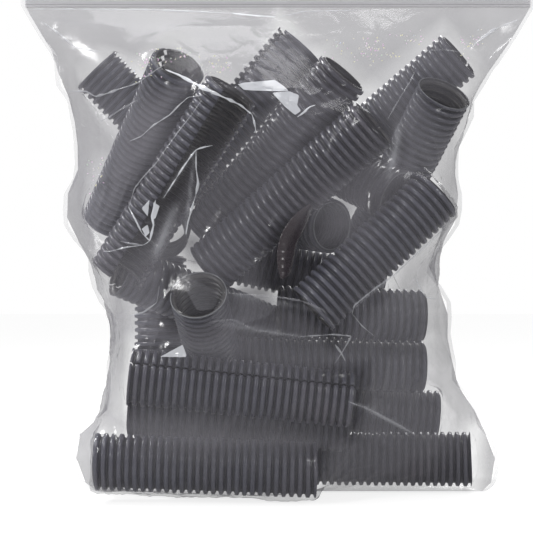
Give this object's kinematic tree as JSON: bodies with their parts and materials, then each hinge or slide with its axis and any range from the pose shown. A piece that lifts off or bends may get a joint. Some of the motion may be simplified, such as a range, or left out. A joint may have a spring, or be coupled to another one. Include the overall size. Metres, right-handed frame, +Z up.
{
  "type": "bagged split corrugated conduit sleeves",
  "caption": "Clear press-to-close bag packed with cut lengths of black split corrugated conduit sleeve, standing on its base.",
  "frame": {"origin": "middle of the base of the standing bag, in the plane of its side seams", "axes": "+X along the zip, +Y towards the back of the bag, +Z up from the base to the zip"},
  "size_m": [0.268, 0.1315, 0.267],
  "materials": {
    "conduit": "black extruded polypropylene with a soft sheen",
    "film": "clear, slightly hazy polyethylene film with creases",
    "zip": "clear polyethylene, milky where it is thick"
  },
  "bodies": {
    "root": {"front_film": "film", "rear_film": "film", "base_film": "film", "left_seam": "zip", "right_seam": "zip", "left_zip_end": "zip", "right_zip_end": "zip", "curled_strip": "conduit", "sleeve_01": "conduit", "sleeve_02": "conduit", "sleeve_03": "conduit", "sleeve_04": "conduit", "sleeve_05": "conduit", "sleeve_06": "conduit", "sleeve_07": "conduit", "sleeve_08": "conduit", "sleeve_09": "conduit", "sleeve_10": "conduit", "sleeve_11": "conduit", "sleeve_12": "conduit", "sleeve_13": "conduit", "sleeve_14": "conduit", "sleeve_15": "conduit", "sleeve_16": "conduit", "sleeve_17": "conduit", "sleeve_18": "conduit", "sleeve_19": "conduit", "sleeve_20": "conduit", "sleeve_21": "conduit", "sleeve_22": "conduit", "sleeve_23": "conduit"},
    "front_mouth": {"front_zip_groove": "zip", "front_lip": "film"},
    "rear_mouth": {"rear_zip_rib": "zip", "rear_lip": "film"}
  },
  "joints": [
    {"name": "front_mouth_open", "type": "hinge", "parent": "root", "child": "front_mouth", "pos_m": [0, 0, 0.208], "axis": [1, 0, 0], "range_deg": [0, 30]},
    {"name": "rear_mouth_open", "type": "hinge", "parent": "root", "child": "rear_mouth", "pos_m": [0, 0, 0.208], "axis": [-1, 0, 0], "range_deg": [0, 21]}
  ],
  "couplings": [
    {"joint": "rear_mouth_open", "follows": "front_mouth_open", "ratio": 0.7}
  ]
}
